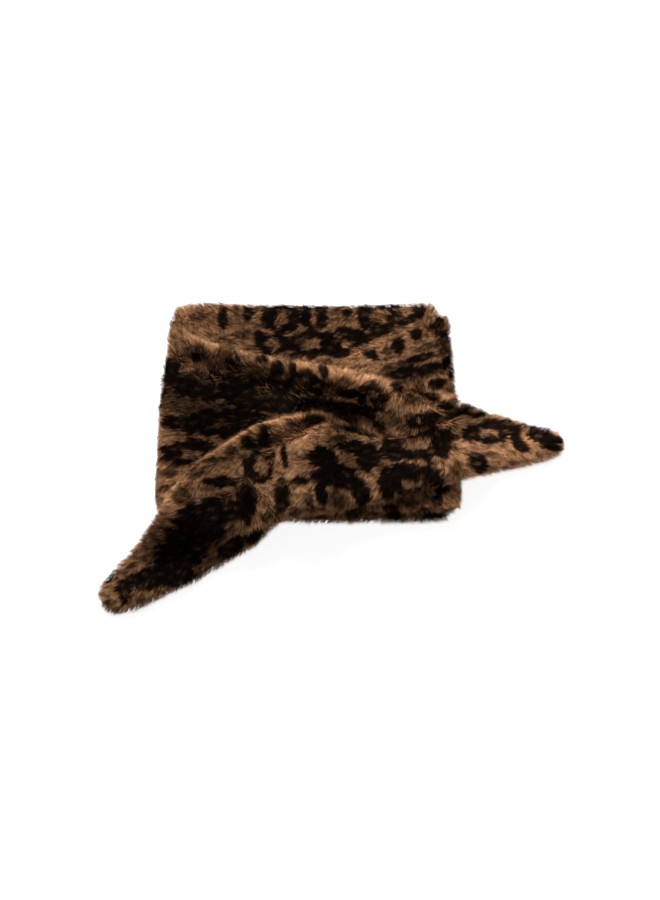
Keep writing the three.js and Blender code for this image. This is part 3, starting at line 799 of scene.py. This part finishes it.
def ruffled(node, plan):
    """How ruffled the pile is at each plan place, from 0 to 1."""
    amount = np.zeros(len(plan))
    for ruffle in RUFFLES[node]:
        away = np.hypot(plan[:, 0] - ruffle.x, plan[:, 1] - ruffle.y) / ruffle.reach
        amount = np.maximum(amount, 1 - smooth_step(0.4, 1.1, away))
    return amount


def fold_at(fold, x, y):
    """How deep one fold is at a plan place."""
    dx, dy = fold.to_x - fold.from_x, fold.to_y - fold.from_y
    share = ((x - fold.from_x) * dx + (y - fold.from_y) * dy) / (dx * dx + dy * dy)
    share = min(max(share, 0), 1)
    away = math.hypot(x - fold.from_x - share * dx, y - fold.from_y - share * dy) / fold.width
    return fold.depth * math.exp(-away * away)


def refine(shape, longest):
    """Cuts long edges in two, three times at most, until none is longer than a skin needs."""
    for _ in range(3):
        long_edges = [edge for edge in shape.edges if edge.calc_length() > longest]
        if not long_edges:
            return
        bmesh.ops.subdivide_edges(shape, edges=long_edges, cuts=1)
        bmesh.ops.triangulate(shape, faces=shape.faces[:])


def make_skin(node, skin, material):
    """The backing of one stretch: its solid's form, let in by the depth of the pile, with its folds."""
    shape = bmesh.new()
    shape.from_mesh(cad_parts[node].data)
    bmesh.ops.remove_doubles(shape, verts=shape.verts[:], dist=0.01 * MM)
    refine(shape, skin.grain)
    shape.normal_update()
    tree = BVHTree.FromBMesh(shape)
    insets = {}
    for vertex in shape.verts:
        # the ray starts a little way in, so that it doesn't meet the face that it leaves
        start = vertex.co - vertex.normal * 0.2 * MM
        hit = tree.ray_cast(start, -vertex.normal)
        thickness = hit[3] if hit[0] is not None else skin.depth
        insets[vertex.index] = min(skin.depth, INSET_LIMIT * thickness)
    shape.verts.ensure_lookup_table()
    moved = []
    for vertex in shape.verts:
        around = [insets[edge.other_vert(vertex).index] for edge in vertex.link_edges]
        inset = 0.5 * insets[vertex.index] + 0.5 * sum(around) / len(around)
        x, y = vertex.co.x / MM, vertex.co.y / MM
        if node in ("left_front_band", "right_tail"):
            inset *= 1 - fold_at(CREASE, x, y)
        sink = max(vertex.normal.z, 0) * sum(fold_at(fold, x, y) for fold in FOLDS[node]) * MM
        moved.append(vertex.co - vertex.normal * inset - Vector((0, 0, min(sink, inset + MM))))
    for vertex, place in zip(shape.verts, moved):
        vertex.co = place
    for _ in range(2):
        axes = {"use_axis_x": True, "use_axis_y": True, "use_axis_z": True}
        bmesh.ops.smooth_vert(shape, verts=shape.verts[:], factor=0.5, **axes)
    mesh = bpy.data.meshes.new(node + "_skin")
    shape.to_mesh(mesh)
    shape.free()
    mesh.shade_smooth()
    places, normals = vertex_arrays(mesh)
    write_attribute(mesh, "print", print_on(node, places, normals))
    piece = add_object(node + "_skin", mesh, material)
    wall = piece.modifiers.new("backing", "SOLIDIFY")
    wall.thickness = skin.wall
    wall.offset = -1
    return piece


def vertex_arrays(mesh):
    places = np.empty(3 * len(mesh.vertices))
    normals = np.empty(3 * len(mesh.vertices))
    mesh.vertices.foreach_get("co", places)
    mesh.vertex_normals.foreach_get("vector", normals)
    return places.reshape(-1, 3), normals.reshape(-1, 3)


def write_attribute(mesh, name, values):
    attribute = mesh.attributes.new(name, "FLOAT", "POINT")
    attribute.data.foreach_set("value", np.asarray(values, np.float32))


def openness(places, normals, trees):
    """The share of a few ways out that no skin blocks, at each place."""
    steep, flat, turned = 1.1, 0.25, 0.5
    clear, far = 1.5 * MM, 0.4
    ways = [Vector((0, 0, 1))]
    for step in range(6):
        turn = step * math.pi / 3
        ways.append(Vector((math.cos(turn), math.sin(turn), steep)).normalized())
        ways.append(Vector((math.cos(turn + turned), math.sin(turn + turned), flat)).normalized())
    free = np.zeros(len(places))
    for number, (place, normal) in enumerate(zip(places, normals)):
        start = Vector(place) + Vector(normal) * clear
        for way in ways:
            if not any(tree.ray_cast(start, way, far)[0] for tree in trees):
                free[number] += 1 / len(ways)
    return free


def nap_of(node, plan):
    """The plan direction in which the pile lies, turning smoothly between the charted places."""
    total = np.zeros((len(plan), 2))
    for nap in NAPS[node]:
        # the 60 square millimetres keep the turn smooth close to a charted place
        away = (plan[:, 0] - nap.x) ** 2 + (plan[:, 1] - nap.y) ** 2 + 60
        angle = math.radians(nap.angle)
        total += np.array([math.cos(angle), math.sin(angle)]) / (away**1.5)[:, None]
    angle = np.arctan2(total[:, 1], total[:, 0]) + 0.7 * wander(plan, 34, NAP_SEED)
    return np.column_stack([np.cos(angle), np.sin(angle), np.zeros(len(plan))])


def unit(vectors):
    return vectors / np.maximum(np.linalg.norm(vectors, axis=1, keepdims=True), 1e-9)


def tuft_of(roots, spacing, dice):
    """For each root, the root at the middle of its tuft."""
    wanted = max(int(len(roots) * (STRAND_SPACING / spacing) ** 2), 1)
    middles = dice.choice(len(roots), min(wanted, len(roots)), replace=False)
    tree = KDTree(len(middles))
    for middle in middles:
        tree.insert(Vector(roots[middle]), int(middle))
    tree.balance()
    return np.array([tree.find(Vector(root))[1] for root in roots])


def grow_roots(mesh, trees, count, dice):
    """Roots spread over a skin, most of them where they show, and the way out of the skin at each."""
    places, normals = vertex_arrays(mesh)
    corners = np.empty(3 * len(mesh.polygons), int)
    mesh.polygons.foreach_get("vertices", corners)
    corners = corners.reshape(-1, 3)
    free = openness(places, normals, trees)
    a, b, c = (places[corners[:, side]] for side in range(3))
    areas = np.linalg.norm(np.cross(b - a, c - a), axis=1)
    shown = smooth_step(0.02, 0.25, free[corners].mean(axis=1))
    weights = areas * (0.03 + shown)
    chosen = dice.choice(len(corners), count, p=weights / weights.sum())
    first, second = dice.random(count), dice.random(count)
    flip = first + second > 1
    first[flip], second[flip] = 1 - first[flip], 1 - second[flip]
    shares = np.column_stack([1 - first - second, first, second])
    roots = np.einsum("ij,ijk->ik", shares, places[corners[chosen]])
    lifts = unit(np.einsum("ij,ijk->ik", shares, normals[corners[chosen]]))
    return roots, lifts


def lay_of(node, plan, lifts):
    """The way each strand lies along its skin, and how near to a parting it is, from 0 to 1."""
    distance, out, along = parting(node, plan)
    beside = np.exp(-((distance / PARTING_SIDE) ** 2))
    parted = np.exp(-((distance / PARTING_LINE) ** 2))
    nap = unit(nap_of(node, plan) + 1.8 * beside[:, None] * out + 5 * parted[:, None] * along)
    lay = unit(nap - lifts * np.sum(nap * lifts, axis=1, keepdims=True))
    return lay, parted


def leaning(strands, lean):
    """The way up each strand, when it leans this far from upright."""
    return strands.lifts * np.cos(lean)[:, None] + strands.lay * np.sin(lean)[:, None]


def bend_strands(strands, pile, dice):
    """The middle and the tip of each strand, which leans a little up to its middle and lies down past it."""
    count, tufts = len(strands.roots), strands.tufts
    tuft_sway = dice.normal(0, TUFT_SWAY, (count, 3))[tufts]
    own_sway = dice.normal(0, STRAND_SWAY, (count, 3)) * (1 + 0.7 * strands.ruffle)[:, None]
    tuft_length = dice.normal(1, TUFT_LENGTH_SPREAD, count)[tufts]
    length = pile.length * tuft_length * dice.uniform(0.7, 1.12, count)
    lean = pile.lean + dice.normal(0, TUFT_LEAN_SPREAD, count)[tufts]
    lean *= 1 + 0.3 * strands.parted
    first_way = unit(leaning(strands, 0.55 * lean) + 0.6 * (tuft_sway + own_sway))
    second_way = unit(leaning(strands, 1.25 * lean) + tuft_sway + own_sway)
    middles = strands.roots + first_way * (0.5 * length)[:, None]
    tips = middles + second_way * (0.5 * length)[:, None]
    # the tips of a tuft draw together
    tips += TIPS_TOGETHER * (tips[tufts] - tips) * dice.uniform(0.2, 1, count)[:, None]
    middles += MIDDLES_TOGETHER * (middles[tufts] - middles)
    return middles, tips


def blades_of(strands, middles, tips, width, dice):
    """The points of each strand's blade, rolled at random but face out, and the way its face points."""
    count = len(middles)
    across = unit(np.cross(strands.lifts, strands.lay))
    roll = dice.normal(0, 0.5, count)
    way = unit(tips - strands.roots)
    side = unit(across * np.cos(roll)[:, None] + np.cross(way, across) * np.sin(roll)[:, None])
    face = np.cross(side, way)
    side[np.sum(face * strands.lifts, axis=1) < 0] *= -1
    face = unit(np.cross(side, way))
    half = side * (0.5 * width * dice.uniform(0.7, 1.25, count))[:, None]
    rows = [strands.roots - half, strands.roots + half, middles - half * 0.8, middles + half * 0.8, tips]
    points = np.stack(rows, axis=1).reshape(-1, 3)
    # nothing lies lower than the table
    points[:, 2] = np.maximum(points[:, 2], 0.3 * MM)
    return points, face


def blade_mesh(name, points, shading):
    """One mesh of all the blades, shaded as the surface of the pile is."""
    count = len(points) // BLADE_POINTS
    strand = np.arange(count)[:, None]
    mesh = bpy.data.meshes.new(name)
    mesh.vertices.add(len(points))
    mesh.vertices.foreach_set("co", points.ravel())
    mesh.loops.add(len(BLADE_FACES) * count)
    mesh.loops.foreach_set("vertex_index", (BLADE_POINTS * strand + np.array(BLADE_FACES)).ravel())
    mesh.polygons.add(len(BLADE_FACE_STARTS) * count)
    starts = len(BLADE_FACES) * strand + np.array(BLADE_FACE_STARTS)
    mesh.polygons.foreach_set("loop_start", starts.ravel())
    mesh.update(calc_edges=True)
    mesh.shade_smooth()
    mesh.normals_split_custom_set_from_vertices(np.repeat(shading, BLADE_POINTS, axis=0))
    return mesh


def dye_strands_and_paint_light(node, strands, middles, tips, dice):
    """How dark the print is on each strand, from 0 to 1, and how light the strand is, 1 being usual, from
    its dye and from painted highlights and painted shade.
    """
    count, tufts = len(middles), strands.tufts
    # the chart gives the marks as the upper half of the pile shows them
    printed = print_on(node, 0.5 * (middles + tips), strands.lifts)
    printed = printed + dice.normal(0, TUFT_PRINT_SPREAD, count)[tufts]
    printed = np.clip(printed + dice.normal(0, STRAND_PRINT_SPREAD, count), 0, 1)
    tip_distance = parting(node, tips[:, :2] / MM)[0]
    parted = np.maximum(0.2 * strands.parted, 0.85 * np.exp(-((tip_distance / PARTING_TIPS) ** 2)))
    # pale strands show here and there where the pile is ruffled, and at a parting, where the paleness is
    # also a painted highlight along the raised edge
    pale = np.maximum(parted, strands.ruffle * (dice.random(count) < 0.13))
    printed = smooth_step(0, 0.93, printed) * (1 - pale)
    tone = 1 + 0.2 * wander(strands.plan, 24, DYE_SEED)
    tone += dice.normal(0, TUFT_TONE_SPREAD, count)[tufts]
    tone += dice.normal(0, STRAND_TONE_SPREAD, count)
    # the plan table paints highlights and shade into the tone, and a parting adds a painted highlight
    tone = tone * (1 + dye_and_painted_light(strands.plan)) + 0.3 * pale + 0.7 * parted
    return printed, np.clip(tone, LEAST_TONE, MOST_TONE)


def make_pile(stretch, pile, trees, material, seed):
    """The pile of one stretch: bent, pointed strands in tufts, rooted on its skin."""
    node = stretch.node
    count = int(stretch.strands * pile.density)
    dice = np.random.default_rng(seed)
    roots, lifts = grow_roots(bpy.data.objects[node + "_skin"].data, trees, count, dice)
    plan = roots[:, :2] / MM
    lay, parted = lay_of(node, plan, lifts)
    strands = Strands(roots, lifts, plan, lay, parted, ruffled(node, plan), tuft_of(roots, pile.tuft, dice))
    middles, tips = bend_strands(strands, pile, dice)
    points, face = blades_of(strands, middles, tips, pile.width, dice)
    mesh = blade_mesh(node + "_pile", points, unit(0.62 * lifts + 0.38 * face))
    printed, tone = dye_strands_and_paint_light(node, strands, middles, tips, dice)
    write_attribute(mesh, "print", np.repeat(printed, BLADE_POINTS))
    write_attribute(mesh, "rise", np.tile(BLADE_RISE, count))
    write_attribute(mesh, "tone", np.repeat(tone, BLADE_POINTS))
    return add_object(node + "_pile", mesh, material)


class WRAP_OT_skins(bpy.types.Operator):
    """Build the backing of every stretch, let in under the pile"""

    bl_idname = "wrap.skins"
    bl_label = "Skins"

    def execute(self, context):
        skin = context.scene.wrap_skin
        material = backing_material(skin)
        for stretch in STRETCHES:
            piece = make_skin(stretch.node, skin, material)
            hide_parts(stretch.node)
            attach(piece, "root")
        return {"FINISHED"}


class WRAP_OT_pile(bpy.types.Operator):
    """Grow the pile on every skin"""

    bl_idname = "wrap.pile"
    bl_label = "Pile"

    def execute(self, context):
        pile = context.scene.wrap_pile
        material = pile_material(pile)
        trees = [skin_tree(stretch.node) for stretch in STRETCHES]
        for number, stretch in enumerate(STRETCHES):
            piece = make_pile(stretch, pile, trees, material, PILE_SEED + number)
            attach(piece, "root")
        return {"FINISHED"}


def skin_tree(node):
    shape = bmesh.new()
    shape.from_mesh(bpy.data.objects[node + "_skin"].data)
    tree = BVHTree.FromBMesh(shape)
    shape.free()
    return tree


class WRAP_OT_stage(bpy.types.Operator):
    """Lay the table, and set the camera straight above and the soft light past the top edge"""

    bl_idname = "wrap.stage"
    bl_label = "Stage"

    def execute(self, context):
        stage = context.scene.wrap_stage
        scene = context.scene
        shape = bmesh.new()
        bmesh.ops.create_grid(shape, x_segments=1, y_segments=1, size=TABLE_HALF)
        bmesh.ops.translate(shape, verts=shape.verts[:], vec=(0, 0, -TABLE_DROP))
        mesh = bpy.data.meshes.new("floor")
        shape.to_mesh(mesh)
        shape.free()
        add_object("floor", mesh, table_material(stage))

        camera = bpy.data.objects.new("camera", bpy.data.cameras.new("camera"))
        scene.collection.objects.link(camera)
        camera.data.lens = stage.lens
        camera.data.sensor_width = 36
        camera.location = (CAMERA_X, CAMERA_Y, stage.height)
        scene.camera = camera

        key = bpy.data.lights.new("key", "AREA")
        key.shape = "DISK"
        key.size = KEY_WIDTH
        key.energy = stage.key_power
        light = bpy.data.objects.new("key", key)
        scene.collection.objects.link(light)
        light.location = KEY_PLACE
        light.rotation_euler = (Vector((0, 0, 0)) - light.location).to_track_quat("-Z", "Y").to_euler()

        world = bpy.data.worlds.new("surround")
        world.use_nodes = True
        background = world.node_tree.nodes["Background"]
        background.inputs["Color"].default_value = (1, 1, 1, 1)
        background.inputs["Strength"].default_value = stage.sky
        scene.world = world
        scene.view_settings.view_transform = "Standard"
        return {"FINISHED"}


class WRAP_PT_panel(bpy.types.Panel):
    """The wrap's steps and sizes"""

    bl_idname = "WRAP_PT_panel"
    bl_label = "Fur Wrap"
    bl_space_type = "VIEW_3D"
    bl_region_type = "UI"
    bl_category = "Fur Wrap"

    def draw(self, context):
        layout = self.layout
        for title, group, operator in (
            ("Stage", context.scene.wrap_stage, "wrap.stage"),
            ("Skins", context.scene.wrap_skin, "wrap.skins"),
            ("Pile", context.scene.wrap_pile, "wrap.pile"),
        ):
            box = layout.box()
            box.operator(operator, text=title)
            for name in group.__annotations__:
                box.prop(group, name)


GROUPS = {"wrap_skin": WrapSkin, "wrap_pile": WrapPile, "wrap_stage": WrapStage}
CLASSES = (*GROUPS.values(), WRAP_OT_stage, WRAP_OT_skins, WRAP_OT_pile, WRAP_PT_panel)


def register():
    for item in CLASSES:
        bpy.utils.register_class(item)
    for name, group in GROUPS.items():
        setattr(bpy.types.Scene, name, bpy.props.PointerProperty(type=group))


def unregister():
    for name in GROUPS:
        delattr(bpy.types.Scene, name)
    for item in reversed(CLASSES):
        bpy.utils.unregister_class(item)


def main():
    register()
    bpy.ops.wrap.stage()
    bpy.ops.wrap.skins()
    bpy.ops.wrap.pile()


if __name__ == "__main__":
    main()
